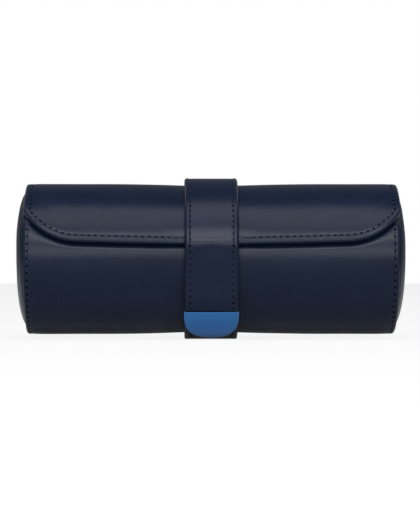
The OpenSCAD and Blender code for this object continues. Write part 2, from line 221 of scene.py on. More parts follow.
def outwards(bm):
    """Merges doubled vertices and turns the faces outwards."""
    bmesh.ops.remove_doubles(bm, verts=bm.verts, dist=0.001)
    bmesh.ops.recalc_face_normals(bm, faces=bm.faces)


def loft(bm, ring, stations):
    """Carries a closed ring of (across, height) points along places, and closes both ends."""
    verts = [bm.verts.new(stations[0](w, h)) for w, h in ring]
    edges = [bm.edges.new(pair) for pair in zip(verts, verts[1:] + verts[:1])]
    bmesh.ops.contextual_create(bm, geom=edges)
    for station in stations[1:]:
        made = bmesh.ops.extrude_edge_only(bm, edges=edges)["geom"]
        new = {g for g in made if isinstance(g, bmesh.types.BMVert)}
        edges = [g for g in made if isinstance(g, bmesh.types.BMEdge) and new.issuperset(g.verts)]
        verts = [
            next(e.other_vert(v) for e in v.link_edges if e.other_vert(v) in new) for v in verts
        ]
        for vert, (w, h) in zip(verts, ring):
            vert.co = station(w, h)
    bmesh.ops.contextual_create(bm, geom=edges)
    outwards(bm)


def follow(edges):
    """The vertices of a closed loop of edges, in order."""
    links = {}
    for edge in edges:
        for vert in edge.verts:
            links.setdefault(vert, []).append(edge)
    order = [edges[0].verts[0]]
    edge, vert = edges[0], edges[0].other_vert(order[0])
    while vert is not order[0]:
        order.append(vert)
        edge = next(e for e in links[vert] if e is not edge)
        vert = edge.other_vert(vert)
    return order


def rounded_slab(bm, thick, bevel, segments):
    """Gives the flat face in bm a thickness and rounds both of its rims."""
    made = bmesh.ops.extrude_face_region(bm, geom=bm.faces[:])["geom"]
    raised = [g for g in made if isinstance(g, bmesh.types.BMVert)]
    bmesh.ops.translate(bm, vec=(0, 0, thick), verts=raised)
    bmesh.ops.recalc_face_normals(bm, faces=bm.faces)
    rim = [
        e for e in bm.edges
        if len(e.link_faces) == 2 and e.calc_face_angle() > 1.2
        and abs(e.verts[0].co.z - e.verts[1].co.z) < 0.001
    ]
    bmesh.ops.bevel(bm, geom=rim, offset=bevel, segments=segments, affect="EDGES", profile=0.5,
                    material=-1)


def thicken(piece, layer, thickness, offset=0):
    """Makes a sheet solid, about its own surface or inwards from it."""
    solid = piece.modifiers.new(layer, "SOLIDIFY")
    solid.thickness = thickness * MM
    solid.offset = offset


def grid(bm, columns, rows, mapping):
    """A sheet whose vertex (i, j) lies at mapping(columns[i], rows[j])."""
    made = bmesh.ops.create_grid(
        bm, x_segments=len(columns) - 1, y_segments=len(rows) - 1, size=0.5
    )
    for v in made["verts"]:
        i = round((v.co.x + 0.5) * (len(columns) - 1))
        j = round((v.co.y + 0.5) * (len(rows) - 1))
        v.co = mapping(columns[i], rows[j])
    return made["verts"]


def spread(low, high, count):
    """Evenly spaced values with both ends."""
    return [low + (high - low) * i / (count - 1) for i in range(count)]


def with_ends(half, offsets, count):
    """Stations from -half to half, with the given distances from both ends added."""
    inner = half - offsets[-1]
    return (
        [-half + d for d in offsets[:-1]]
        + spread(-inner, inner, count)
        + [half - d for d in reversed(offsets[:-1])]
    )


# ---------------------------------------------------------------- materials


def new_material(name, colour, roughness, **sockets):
    material = bpy.data.materials.new(name)
    material.use_nodes = True
    shader = material.node_tree.nodes["Principled BSDF"]
    shader.inputs["Base Color"].default_value = (*colour, 1)
    shader.inputs["Roughness"].default_value = roughness
    for socket, value in sockets.items():
        shader.inputs[socket.replace("_", " ")].default_value = value
    material.diffuse_color = (*colour, 1)
    return material


def add_node(material, kind, **values):
    node = material.node_tree.nodes.new(kind)
    for key, value in values.items():
        if key in node.inputs:
            node.inputs[key].default_value = value
        else:
            setattr(node, key, value)
    return node


def coordinates(material, rest):
    """The resting place of each point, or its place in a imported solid."""
    if rest:
        return add_node(material, "ShaderNodeAttribute", attribute_name="rest").outputs["Vector"]
    return add_node(material, "ShaderNodeTexCoord").outputs["Object"]


def shader_input(material, socket):
    return material.node_tree.nodes["Principled BSDF"].inputs[socket]


def vary_colour(material, source, colour, scale, low, high, detail=4.0):
    """Mottles the base colour between two levels of itself."""
    links = material.node_tree.links
    clouds = add_node(material, "ShaderNodeTexNoise", Scale=scale, Detail=detail)
    ramp = add_node(material, "ShaderNodeValToRGB")
    for stop, position, level in zip(ramp.color_ramp.elements, (0.1, 0.9), (low, high)):
        stop.position = position
        stop.color = (*[c * level for c in colour], 1)
    links.new(source, clouds.inputs["Vector"])
    links.new(clouds.outputs["Fac"], ramp.inputs["Fac"])
    links.new(ramp.outputs["Color"], shader_input(material, "Base Color"))


def vary_roughness(material, source, scale, low, high):
    """Mottles the roughness between two levels."""
    links = material.node_tree.links
    clouds = add_node(material, "ShaderNodeTexNoise", Scale=scale, Detail=3.0)
    span = add_node(material, "ShaderNodeMapRange", **{"To Min": low, "To Max": high})
    links.new(source, clouds.inputs["Vector"])
    links.new(clouds.outputs["Fac"], span.inputs["Value"])
    links.new(span.outputs["Result"], shader_input(material, "Roughness"))


def add_bump(material, source, kind, output, distance, strength, **values):
    """Raises the surface by a texture, on top of any bump it already has."""
    links = material.node_tree.links
    texture = add_node(material, kind, **values)
    bump = add_node(material, "ShaderNodeBump", Distance=distance * MM, Strength=strength)
    normal = shader_input(material, "Normal")
    links.new(source, texture.inputs["Vector"])
    links.new(texture.outputs[output], bump.inputs["Height"])
    if normal.is_linked:
        links.new(normal.links[0].from_socket, bump.inputs["Normal"])
    links.new(bump.outputs["Normal"], normal)


def leather(name, colour, roughness=0.27, rest=True):
    """Smooth full-grain leather: fine pebbled cells with pores and a soft mottle."""
    material = new_material(name, colour, roughness, Specular_IOR_Level=0.14)
    source = coordinates(material, rest)
    vary_colour(material, source, colour, 60, 0.8, 1.2, 2.0)
    vary_roughness(material, source, 45, roughness - 0.02, roughness + 0.04)
    add_bump(material, source, "ShaderNodeTexVoronoi", "Distance", 0.06, 0.5,
             Scale=1500, feature="SMOOTH_F1")
    add_bump(material, source, "ShaderNodeTexNoise", "Fac", 0.12, 0.4,
             Scale=260, Detail=3.0, Roughness=0.5)
    return material


def suede(name, colour):
    """Brushed nap: soft clouds where it has been stroked, and a fine fibre bump."""
    material = new_material(name, colour, 0.92, Sheen_Weight=0.6, Sheen_Roughness=0.45)
    source = coordinates(material, True)
    vary_colour(material, source, colour, 70, 0.8, 1.2, 5.0)
    add_bump(material, source, "ShaderNodeTexNoise", "Fac", 0.12, 0.6, Scale=2600, Detail=3.0)
    return material


def anodised(name, colour):
    """Satin coloured metal with a faint grain brushed across it."""
    material = new_material(name, colour, 0.34, Metallic=1.0, Coat_Weight=0.25, Coat_Roughness=0.2)
    source = coordinates(material, True)
    stretch = add_node(material, "ShaderNodeMapping", Scale=(60, 2400, 2400))
    material.node_tree.links.new(source, stretch.inputs["Vector"])
    add_bump(material, stretch.outputs["Vector"], "ShaderNodeTexNoise", "Fac", 0.02, 0.35,
             Scale=1.0, Detail=4.0)
    vary_roughness(material, source, 300, 0.3, 0.4)
    return material


def thread(name, colour):
    """Matt thread with a fine twist."""
    material = new_material(name, colour, 0.45, Specular_IOR_Level=0.2)
    turned = add_node(material, "ShaderNodeMapping", Rotation=(0.5, 0.6, 0.7))
    material.node_tree.links.new(coordinates(material, True), turned.inputs["Vector"])
    add_bump(material, turned.outputs["Vector"], "ShaderNodeTexWave", "Fac", 0.04, 0.6,
             Scale=1600, Distortion=1.0)
    return material


def pressed_board(name, colour):
    """Plain matt board or foam with a fine speckle."""
    material = new_material(name, colour, 0.85)
    vary_colour(material, coordinates(material, False), colour, 900, 0.8, 1.2)
    return material


def plated(name, colour):
    """Plated steel with a little wear."""
    material = new_material(name, colour, 0.3, Metallic=1.0)
    vary_roughness(material, coordinates(material, False), 800, 0.25, 0.38)
    return material


def finishes():
    """The materials, made once and kept by name."""
    settings = bpy.context.scene.watch_case
    made = {}

    def once(name, make, *arguments, **options):
        made[name] = bpy.data.materials.get(name) or make(name, *arguments, **options)

    once("glazed_leather", leather, tuple(settings.leather_colour))
    # Darker, rougher leather: edge paint on the tab's backing, and painted shade in the recessed
    # groove above the tab
    once("edge_paint", leather, tuple(c * 0.7 for c in settings.leather_colour), 0.5)
    once("brushed_suede", suede, tuple(settings.suede_colour))
    once("anodised_blue", anodised, tuple(settings.tab_colour))
    once("navy_thread", thread, tuple(settings.thread_colour))
    # Near-black with no reflection: painted shade for the inside of the needle holes
    once("needle_hole", new_material, (0.001, 0.001, 0.0015), 1.0, Specular_IOR_Level=0.0)
    once("cut_leather", leather, tuple(settings.leather_colour), 0.5, rest=False)
    once("pressed_board", pressed_board, (0.26, 0.24, 0.2))
    once("foam_padding", pressed_board, (0.7, 0.68, 0.62))
    once("plated_steel", plated, (0.5, 0.51, 0.53))
    return made


# ---------------------------------------------------------------- stitches


def groove(d):
    """Depth to which a row of stitches draws the leather in, at a distance from the row."""
    return GROOVE_DEPTH * math.exp(-((d / GROOVE_WIDTH) ** 2))


def add_stitch(bm, middle, along, out, pitch, width, slant):
    """One stitch that dips into the leather at both ends, and a near-black disc painted as the
    shade in its needle hole.
    """
    across = out.cross(along).normalized()
    run = (along * math.cos(slant) + across * math.sin(slant)).normalized()
    side = out.cross(run).normalized()
    basis = Matrix((run, side, out)).transposed().to_4x4()
    basis.translation = middle
    made = bmesh.ops.create_uvsphere(bm, u_segments=8, v_segments=6, radius=0.5)
    for v in made["verts"]:
        v.co = basis @ Vector((v.co.z * pitch * 0.72, v.co.x * width, v.co.y * width * 0.7))
    # A near-black, unreflecting disc over the needle hole, painted as the shade inside it
    hole_shade_disc = bmesh.ops.create_circle(bm, cap_ends=True, segments=10, radius=0.5)
    bmesh.ops.poke(bm, faces=list({f for v in hole_shade_disc["verts"] for f in v.link_faces}))
    rim = hole_shade_disc["verts"]
    spokes = [e.other_vert(rim[0]) for e in rim[0].link_edges]
    centre = next(v for v in spokes if v not in rim)
    for v in [*rim, centre]:
        lift = GROOVE_DEPTH - groove(v.co.y) + 0.03
        v.co = basis @ Vector((v.co.x * 1.3 + pitch / 2, v.co.y * 1.15, lift))
        for face in v.link_faces:
            face.material_index = 1


def stitch_row(name, line, pitch, body=None, width=0.5, slant=0.14):
    """Sews along a line of (bottom of the groove, outward) points, at an even pitch."""
    finish = finishes()
    bm = bmesh.new()
    lengths = [0.0]
    for a, b in zip(line, line[1:]):
        lengths.append(lengths[-1] + (b[0] - a[0]).length)
    count = max(int(lengths[-1] / pitch), 1)
    step = lengths[-1] / count
    at = 0
    for k in range(count):
        want = (k + 0.5) * step
        while lengths[at + 1] < want:
            at += 1
        t = (want - lengths[at]) / (lengths[at + 1] - lengths[at])
        middle = line[at][0].lerp(line[at + 1][0], t)
        out = line[at][1].lerp(line[at + 1][1], t).normalized()
        along = (line[at + 1][0] - line[at][0]).normalized()
        add_stitch(bm, middle, along, out, step, width, slant)
    piece = finish_mesh(name, bm, [finish["navy_thread"], finish["needle_hole"]], 80)
    if body:
        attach(piece, body)
    return piece


# ---------------------------------------------------------------- wrap


EDGE_ROLL = 1.3
PRESSED_DEPTH = 0.95
PRESSED_REACH = 3.5


def wrap_surface(x, angle):
    """Outside of the wrap at x, as a radius, with its rolled end and stitch groove."""
    end = HALF_CASE - abs(x)
    radius = CASE_RADIUS - waist(x)
    rise = 0.1 * smoothstep(END_STITCH + 0.4, END_STITCH + 6, end)
    drop = EDGE_ROLL - math.sqrt(max(EDGE_ROLL**2 - (EDGE_ROLL - min(end, EDGE_ROLL)) ** 2, 0))
    point = place(x, radius * direction(angle))
    smooth = handmade(point) * smoothstep(3, 12, end)
    return radius - 0.1 - groove(end - END_STITCH) + rise - drop + smooth - pressed(x, angle)


def pressed(x, angle):
    """Depth of the dent that the edge of the closed flap leaves in the padding."""
    angle = (angle + 180) % 360 - 180
    if abs(angle) > 60:
        return 0.0
    edge = flap_height(min(abs(x - FLAP_SKEW), HALF_FLAP))
    below = edge - CASE_RADIUS * math.sin(math.radians(angle))
    ramp = 1 - max(below, 0) / PRESSED_REACH
    return PRESSED_DEPTH * (ramp + math.sqrt(ramp * ramp + 0.012)) / 2 * smoothstep(-16, -4, below)


def build_wrap(settings):
    """The outer leather from the hinge line round to the lip, turned in at both ends."""
    finish = finishes()
    seam = HINGE_ANGLE + arc_angle(HINGE_BARE, CASE_RADIUS)
    start = seam - arc_angle(1.2, CASE_RADIUS)
    stop = 360 + LIP_ANGLE + arc_angle(0.6, CASE_RADIUS)
    offsets = [0, 0.06, 0.2, 0.45, 0.8, 1.25, 1.6, 1.9, 2.1, 2.3, 2.6, 3.1, 4, 6]
    columns = with_ends(HALF_CASE, offsets, 71)
    rows = spread(start, seam + 3, 9) + spread(seam + 3, 352, 110)[1:] + spread(352, stop, 110)[1:]
    bm = bmesh.new()
    grid(bm, columns, rows,
         lambda x, a: place(x, (wrap_surface(x, a) - 0.05 * (a < seam)) * direction(a)))
    rim = [e for e in bm.edges if e.is_boundary]
    ends = [e for e in rim if all(abs(abs(v.co.x) - HALF_CASE) < 0.01 for v in e.verts)]
    for clearance, depth in ((0.6, 0), (0.25, 0.15), (0.1, 0.5), (0.1, 2.5)):
        made = bmesh.ops.extrude_edge_only(bm, edges=ends)["geom"]
        verts = {g for g in made if isinstance(g, bmesh.types.BMVert)}
        for v in verts:
            flat = Vector((-v.co.y, v.co.z - AXIS)).normalized() * (END_RADIUS + clearance)
            v.co = place(math.copysign(HALF_CASE - depth, v.co.x), flat)
        ends = [g for g in made if isinstance(g, bmesh.types.BMEdge) and verts.issuperset(g.verts)]
    outwards(bm)
    piece = finish_mesh("wrap_leather", bm, [finish["glazed_leather"]])
    thicken(piece, "leather", 1.0, -1)
    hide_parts("case_leather")
    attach(piece, "case")

    for side, name in SIDES:
        x = side * (HALF_CASE - END_STITCH)
        line = [
            (place(x, wrap_surface(x, a) * direction(a)), place_normal(a))
            for a in spread(seam + 1, stop - 3, 200)
        ]
        stitch_row("end_stitches_" + name, line, settings.case_stitch, "case")


def build_lip(settings):
    """The leather turned over the front lip, under the flap."""
    finish = finishes()
    thick = CASE_RADIUS - LINING_IN
    ring = [(-2.4, 0), (0, 0), (1.1, 0.35), (1.6, 1.2), (1.7, thick / 2),
            (1.6, thick - 1.2), (1.1, thick - 0.35), (0, thick), (-2.4, thick)]
    bm = bmesh.new()

    def station(x):
        def at(along, height):
            angle = LIP_ANGLE + arc_angle(along + 0.4, CASE_RADIUS)
            return place(x, (LINING_IN - waist(x) + height - 0.1) * direction(angle))
        return at

    loft(bm, ring, [station(x) for x in spread(-HALF_CASE + 1, HALF_CASE - 1, 61)])
    piece = finish_mesh("lip_binding", bm, [finish["glazed_leather"]])
    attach(piece, "case")
    line = [
        (place(x, (wrap_surface(x, LIP_ANGLE) - GROOVE_DEPTH) * direction(LIP_ANGLE - 3.6)),
         place_normal(LIP_ANGLE - 3.6))
        for x in spread(-HALF_CASE + 4, HALF_CASE - 4, 120)
    ]
    stitch_row("lip_stitches", line, settings.case_stitch, "case")


# ---------------------------------------------------------------- ends


def build_ends(settings):
    """The padded domes, and the part of their leather that stands up into the mouth."""
    finish = finishes()
    height = DOME_TOP - END_FACE - 0.05
    for side, name in SIDES:
        bm = bmesh.new()
        profile = []
        for i in range(27):
            t = math.radians(90 * i / 26)
            profile.append((END_RADIUS * math.sin(t) ** (2 / 2.6),
                            END_FACE + 0.05 + height * math.cos(t) ** (2 / 2.6)))
        line = [bm.verts.new(place(side * x, Vector((r, 0)))) for r, x in profile]
        edges = [bm.edges.new(pair) for pair in zip(line, line[1:])]
        bmesh.ops.spin(
            bm, geom=line + edges, cent=(0, 0, AXIS), axis=(1, 0, 0), angle=math.tau,
            steps=128, use_merge=True,
        )
        bmesh.ops.remove_doubles(bm, verts=bm.verts, dist=0.02)
        for v in bm.verts:
            flat = Vector((-v.co.y, v.co.z - AXIS))
            rise = (abs(v.co.x) - END_FACE) / height
            inner = 1 - min(flat.length / END_RADIUS, 1.0)
            pucker = 0.16 * math.sin(math.radians(angle_of(flat) * 34 + 40 * math.sin(flat.x)))
            fade = math.exp(-((inner - 0.07) / 0.05) ** 2)
            v.co.x -= side * (pucker * fade * rise + 0.25 * noise.noise(v.co / 14.0) * rise)
            v.co.z += settings.end_fullness * max(rise, 0) ** 2
        outwards(bm)
        piece = finish_mesh("end_" + name, bm, [finish["glazed_leather"]], 70)
        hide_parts("end_leather_" + name)
        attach(piece, "case")

        bm = bmesh.new()
        ring = [(0, 0), (0.25, 0.12), (0.35, 0.35), (0.35, 4), (0, 4.2), (-0.35, 4),
                (-0.35, 0.35), (-0.25, 0.12)]

        def station(angle, side=side):
            def at(thick, along):
                flat = (END_RADIUS - 0.6 + thick) * direction(angle)
                return place(side * (END_FACE - 3.2 + along), flat)
            return at

        loft(bm, ring, [station(a) for a in spread(LIP_ANGLE + 3.2, HINGE_ANGLE - 1.5, 61)])
        flange = finish_mesh("end_flange_" + name, bm, [finish["glazed_leather"]])
        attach(flange, "case")


# ---------------------------------------------------------------- flap


FLAP_SINK = 0.08
FLAP_SLOPE = 0.2
FLAP_ROUND = 1.82
FLAP_ROUND_REACH = 1.0
FLAP_LIFT = 0.8


def flap_height(x):
    """Height of the flap's lower edge over the axis at x."""
    bow = FLAP_EDGE + FLAP_BOW - math.sqrt(FLAP_BOW**2 - x * x)
    reach = abs(x) - FLAP_CORNER_X
    if reach <= 0:
        return bow
    lift = FLAP_BOW - math.sqrt((FLAP_BOW - FLAP_CORNER) ** 2 - FLAP_CORNER_X**2)
    corner = FLAP_EDGE + lift - math.sqrt(FLAP_CORNER**2 - reach * reach)
    return max(bow, corner)


def flap_length(x):
    """Length of the flap at x, along its arc from the hinge line to its edge."""
    radius = FLAP_RADIUS - waist(x)
    edge = math.degrees(math.asin((flap_height(x) - FLAP_CENTRE.y) / radius))
    return math.radians(HINGE_ANGLE - edge) * FLAP_RADIUS


def from_edge(x, s):
    """Distance of a point of the flap from its nearest free edge."""
    at = min(abs(x), HALF_FLAP - 0.1)
    slope = (flap_length(at + 0.05) - flap_length(at - 0.05)) / 0.1
    front = (flap_length(x) - s) / math.sqrt(1 + slope * slope)
    side = HALF_FLAP - abs(x)
    return max(min(front, side), 0.0)


def flap_point(x, s, height):
    """A point over (or under) the flap's outside, s along its arc from the hinge line."""
    height += lift(x, s)
    x += FLAP_SKEW
    if s < 0:
        angle = HINGE_ANGLE - math.degrees(s / CASE_RADIUS)
        return place(x, (CASE_RADIUS - waist(x) + height) * direction(angle))
    angle = HINGE_ANGLE - math.degrees(s / FLAP_RADIUS)
    return place(x, FLAP_CENTRE + (FLAP_RADIUS - waist(x) + height) * direction(angle))


def roll(d, reach, depth):
    """How far an edge rolled over this reach and depth drops at a distance d from the edge."""
    part = 1 - min(d / reach, 1)
    return depth * (1 - math.sqrt(max(1 - part * part, 0)))


def lift(x, s):
    """How far the flap stands off the wrap near its edge, away from the strap."""
    return FLAP_LIFT * smoothstep(18, 0, flap_length(x) - s) * smoothstep(STRAP_HALF, 32, abs(x))


def flap_top(x, s):
    """Height of the flap's skin over its arc: sunk stitches, a sloping crest and a round rim."""
    d = from_edge(x, s)
    near_hinge = smoothstep(0, 5, s)
    pad = FLAP_SINK * (smoothstep(FLAP_STITCH + 0.5, 9, d) - 1)
    crest = FLAP_SLOPE * (min(max(d - 0.8, 0) / 1.6, 1) - 1)
    point = flap_point(x, s, 0)
    edge = pad + crest - roll(d, FLAP_ROUND_REACH, FLAP_ROUND) - groove(d - FLAP_STITCH)
    return edge * near_hinge + handmade(point, 0.12) * smoothstep(4, 14, d)


def flap_under(x, s):
    """Height of the flap's underside, with the margin of leather turned over the lining."""
    d = from_edge(x, s)
    thick = 1.25 + (FLAP_STACK - 1.25) * smoothstep(1, 7, s)
    turned = roll(d, 0.7, FLAP_STACK - FLAP_SINK - FLAP_SLOPE - FLAP_ROUND)
    margin = 0.3 * smoothstep(4.8, 5.2, d) * smoothstep(3, 8, s)
    return turned * smoothstep(0, 5, s) + margin - thick


def flap_sheet(columns, rows, upper, lower):
    """A closed sheet between two surfaces over the flap's arc."""
    bm = bmesh.new()

    def station(x, v):
        length = flap_length(x)
        if v < 14:
            return length - v
        return -HINGE_BARE + (length - 14 + HINGE_BARE) * (rows[-1] - v) / (rows[-1] - 14)

    for side in (upper, lower):
        grid(bm, columns, rows,
             lambda x, v, side=side: flap_point(x, station(x, v), side(x, station(x, v))))
    bmesh.ops.remove_doubles(bm, verts=bm.verts, dist=0.004)
    open_edges = [e for e in bm.edges if e.is_boundary]
    bmesh.ops.bridge_loops(bm, edges=open_edges)
    outwards(bm)
    return bm


def build_flap(settings):
    """The flap's skin, with its rolled edge, and the stitches that follow the edge."""
    finish = finishes()
    near = [0, 0.04, 0.14, 0.34, 0.65, 1.0, 1.4, 1.8, 2.2, 2.6, 2.9, 3.15, 3.4, 3.65, 3.95, 4.4,
            4.9, 5.3, 6.6, 8, 11]
    columns = with_ends(HALF_FLAP, near, 101)
    rows = near + spread(14, 90, 56)
    bm = flap_sheet(columns, rows, flap_top, flap_under)
    piece = finish_mesh("flap_skin", bm, [finish["glazed_leather"]])
    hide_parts("flap_leather")
    bend_flap(piece)

    half = HALF_FLAP - FLAP_STITCH
    front = []
    for x in spread(-half, half, 400):
        back = 0
        while from_edge(x, flap_length(x) - back) < FLAP_STITCH - 0.02 and back < 30:
            back += 0.05
        front.append((x, flap_length(x) - back))
    left = [(-half, s) for s in spread(4, front[0][1], 60)][:-1]
    right = [(half, s) for s in spread(front[-1][1], 4, 60)][1:]
    rows_of = [[], []]
    for x, s in left + front + right:
        if abs(x + FLAP_SKEW) >= STRAP_HALF + 0.8:
            angle = HINGE_ANGLE - math.degrees(s / FLAP_RADIUS)
            rows_of[x > 0].append((flap_point(x, s, flap_top(x, s)), place_normal(angle)))
    for name, line in zip(("left", "right"), rows_of):
        stitch_row("flap_stitches_" + name, line, settings.flap_stitch, "flap")


def bend_flap(piece):
    """Bakes the placement of a piece that crosses the flap's hinge line into its mesh."""
    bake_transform(piece)


# ---------------------------------------------------------------- strap, band and tab


END_INSET = 0.45


def strap_ring():
    """Cross-section of the strap: two leathers with rounded edges and a stitch groove."""
    half = STRAP_HALF
    top = []
    for w in (0, 4, 7.5, 9.5, 10.1, 10.5, 10.85, 11.2, 11.55, 11.9, 12.3, 12.8, 13.2, 13.6, 13.9,
              14.12):
        w = w * half / 14.2
        d = half - w
        bead = 0.2 * math.exp(-(((d - 1.6) / 0.8) ** 2))
        round_off = 1.2 - math.sqrt(max(1.2**2 - (1.2 - min(d, 1.2)) ** 2, 0))
        top.append((w, STRAP_THICK - groove(d - STRAP_STITCH) + bead - round_off - 0.05))
    side = [(half, 2.45), (half - 0.1, 1.85), (half, 1.25), (half - 0.1, 0.5), (half - 0.45, 0.1)]
    right = top + side + [(half * 0.8, 0.02), (half * 0.4, 0)]
    left = [(-w, h) for w, h in reversed(right[1:])]
    return right + [(0, 0)] + left


def loft_path(ring, path, floor=None, rounded=False):
    """Carries the strap's cross-section along a path of (point, angle), flattened at the floor."""
    stations = []
    for point, angle in path:
        def at(w, h, point=point, angle=angle):
            spot = place(w, point + h * direction(angle))
            if floor is not None:
                spot.z = max(spot.z, floor)
            return spot
        stations.append(at)
    if rounded:
        half, high = (max(point[i] for point in ring) - END_INSET for i in (0, 1))
        end, back = stations[-1], stations[-2]
        stations[-1:] = [
            lambda w, h: end(w, h).lerp(back(w, h), 0.12),
            lambda w, h: end(min(max(w, -half), half), min(max(h, END_INSET), high)),
        ]
    bm = bmesh.new()
    loft(bm, ring, stations)
    return bm


def arc_path(centre, radius, a0, a1, step=1.5):
    """An arc as a path of (point, angle)."""
    count = max(int(abs(a1 - a0) / step), 2) + 1
    return [(centre + radius * direction(a), a) for a in spread(a0, a1, count)]


def run_angle():
    """Direction that the straight run of the free end faces."""
    to_edge = EDGE_POINT - BEND_CENTRE
    return angle_of(to_edge) - math.degrees(math.acos(MEET_BEND / to_edge.length))


def tongue_path(from_angle):
    """Inner line of the strap over the flap and of its free end, down to the tab."""
    down = run_angle()
    turn = EDGE_ANGLE - down
    middle = (EDGE_ANGLE + down) / 2
    fold_centre = EDGE_POINT - FOLD / math.cos(math.radians(turn / 2)) * direction(middle)
    early = arc_angle(FOLD * math.tan(math.radians(turn / 2)), STRAP_IN)
    path = arc_path(FLAP_CENTRE, STRAP_IN, from_angle, EDGE_ANGLE + early)
    path += arc_path(fold_centre, FOLD, EDGE_ANGLE, down, 2.5)
    start = path[-1][0]
    stop = BEND_CENTRE + MEET_BEND * direction(down)
    path += [(start.lerp(stop, t), down) for t in spread(0, 1, 16)][1:-1]
    path += arc_path(BEND_CENTRE, MEET_BEND, down, -MEET_ANGLE, 2)
    end = arc_angle(TAB_NECK, TAIL_R) - TAB_TOP
    return path + arc_path(TAIL_CENTRE, TAIL_R, -MEET_ANGLE - 0.7, end, 1)


def path_line(path, across, height):
    """A line for stitches along a path, at one distance across it and one height over it."""
    return [
        (place(across, point + height * direction(angle)), place_normal(angle))
        for point, angle in path
    ]


def strap_stitches(name, path, settings):
    """Both rows of stitches along a path of the strap."""
    rows = []
    for side, word in SIDES:
        across = side * (STRAP_HALF - STRAP_STITCH)
        line = path_line(path, across, STRAP_THICK - 0.05 - GROOVE_DEPTH)
        rows.append(
            stitch_row(name + "_" + word, line, settings.strap_stitch, None, 0.45, side * 0.1))
    return rows


def bend_tail(piece):
    """Bakes the placement of a piece of the strap into its mesh."""
    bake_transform(piece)


def build_strap(settings):
    """The strap over the flap, the band behind it and the stretch over the hinge."""
    finish = finishes()
    ring = strap_ring()
    flap_bend = arc_angle(STRAP_BEND, FLAP_RADIUS)
    case_bend = arc_angle(STRAP_BEND, CASE_RADIUS)

    path = tongue_path(HINGE_ANGLE - flap_bend)
    bm = loft_path(ring, path, rounded=True)
    for v in bm.verts:
        below = v.co.z - AXIS - EDGE_POINT.y + 2.5
        if v.co.y < 0:
            v.co.y += FOLD_DISH * math.exp(-((below / 3) ** 2) - (v.co.x / 6.5) ** 4)
    piece = finish_mesh("strap_tongue", bm, [finish["glazed_leather"]], 50)
    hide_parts("strap_outer", "strap_filler", "strap_backing", "tail_outer", "tail_filler")
    bend_tail(piece)
    for row in strap_stitches("strap_stitches", path[1:-1], settings):
        bend_tail(row)

    band = arc_path(Vector((0, 0)), BAND_IN, HINGE_ANGLE + case_bend, 360 - MEET_ANGLE - 0.5)
    bm = loft_path(ring, band, floor=0.0)
    piece = finish_mesh("band_strap", bm, [finish["glazed_leather"]], 50)
    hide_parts("band_outer", "band_filler", "band_backing")
    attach(piece, "case")
    clear = [AXIS + (point + STRAP_THICK * direction(angle)).y > 0.6 for point, angle in band]
    split = clear.index(False)
    front = band[split:]
    for part, word in ((band[:split], "back"), (front[clear[split:].index(True):], "front")):
        for row in strap_stitches("band_stitches_" + word, part, settings):
            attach(row, "case")

    span = arc_path(Vector((0, 0)), BAND_IN, HINGE_ANGLE + case_bend, HINGE_ANGLE, 0.8)
    span += arc_path(FLAP_CENTRE, STRAP_IN, HINGE_ANGLE, HINGE_ANGLE - flap_bend, 0.8)[1:]
    piece = finish_mesh("strap_hinge", loft_path(ring, span), [finish["glazed_leather"]], 50)
    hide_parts("strap_hinge_span")
    bend_flap(piece)
    for row in strap_stitches("hinge_stitches", span, settings):
        bend_flap(row)


def curved_plate(name, inset, radius, thick, bevel, finish, tuck=0.0):
    """A half-round plate bent round the free end's arc, its straight edge drawn up by tuck."""
    middle = (TAB_TOP + TAB_TIP) / 2
    outer_r = PLATE_IN + PLATE_THICK
    top = outer_r * math.radians(middle - TAB_TOP) + tuck
    shoulder = outer_r * math.sin(math.radians(middle - TAB_TOP - 2))
    tip = -outer_r * math.sin(math.radians(TAB_TIP - middle)) + inset
    bm = bmesh.new()
    half = TAB_HALF - inset
    outline = [(-half, top)]
    for i in range(49):
        t = math.pi * i / 48
        c, s = math.cos(t), math.sin(t)
        w = -math.copysign(abs(c) ** (2 / TAB_FULLNESS), c) * half
        outline.append((w, shoulder - (shoulder - tip) * s ** (2 / TAB_FULLNESS)))
    outline.append((half, top))
    bm.faces.new([bm.verts.new((w, v, 0)) for w, v in outline])
    rounded_slab(bm, thick, bevel, 3)
    for k in range(1, 30):
        v = tip + (top - tip) * k / 30
        bmesh.ops.bisect_plane(bm, geom=[*bm.verts, *bm.edges, *bm.faces], dist=0.0001,
                               plane_co=(0, v, 0), plane_no=(0, 1, 0))
    for v in bm.verts:
        angle = -middle + math.degrees(math.asin(max(min(v.co.y / outer_r, 1), -1)))
        v.co = place(v.co.x, TAIL_CENTRE + (radius + v.co.z) * direction(angle))
    outwards(bm)
    return finish_mesh(name, bm, [finish], 35)


def build_tab():
    """The metal tab, the leather behind it and the neck that joins it to the strap; the neck and
    the top of the leather behind are darker leather, painted as the shade in the groove above the
    plate.
    """
    finish = finishes()
    half = TAB_HALF - 0.5
    ring = [(-half, 0), (-half, 0.3), (0.3 - half, 0.5), (half - 0.3, 0.5), (half, 0.3), (half, 0)]
    top = arc_angle(TAB_NECK + 1.5, TAIL_R) - TAB_TOP
    path = arc_path(TAIL_CENTRE, TAIL_R + 1.0, -TAB_TOP - 1, top, 0.5)
    # The neck is darker, rougher leather, painted as the shade in its groove under the strap's end
    neck = finish_mesh("tab_neck", loft_path(ring, path), [finish["edge_paint"]], 35)
    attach(neck, "tail")
    plate = curved_plate("metal_tab", 0, PLATE_IN, PLATE_THICK, 0.34, finish["anodised_blue"])
    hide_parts("tab_plate")
    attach(plate, "tail")
    # The backing's top, drawn up under the neck, is the same darker leather, painted as shade in
    # the groove
    back = curved_plate("tab_backing", 0.35, TAIL_R, 1.22, 0.3, finish["edge_paint"], 1.5)
    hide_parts("tail_backing")
    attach(back, "tail")


# ---------------------------------------------------------------- inside


LINING_INSET = 5.1


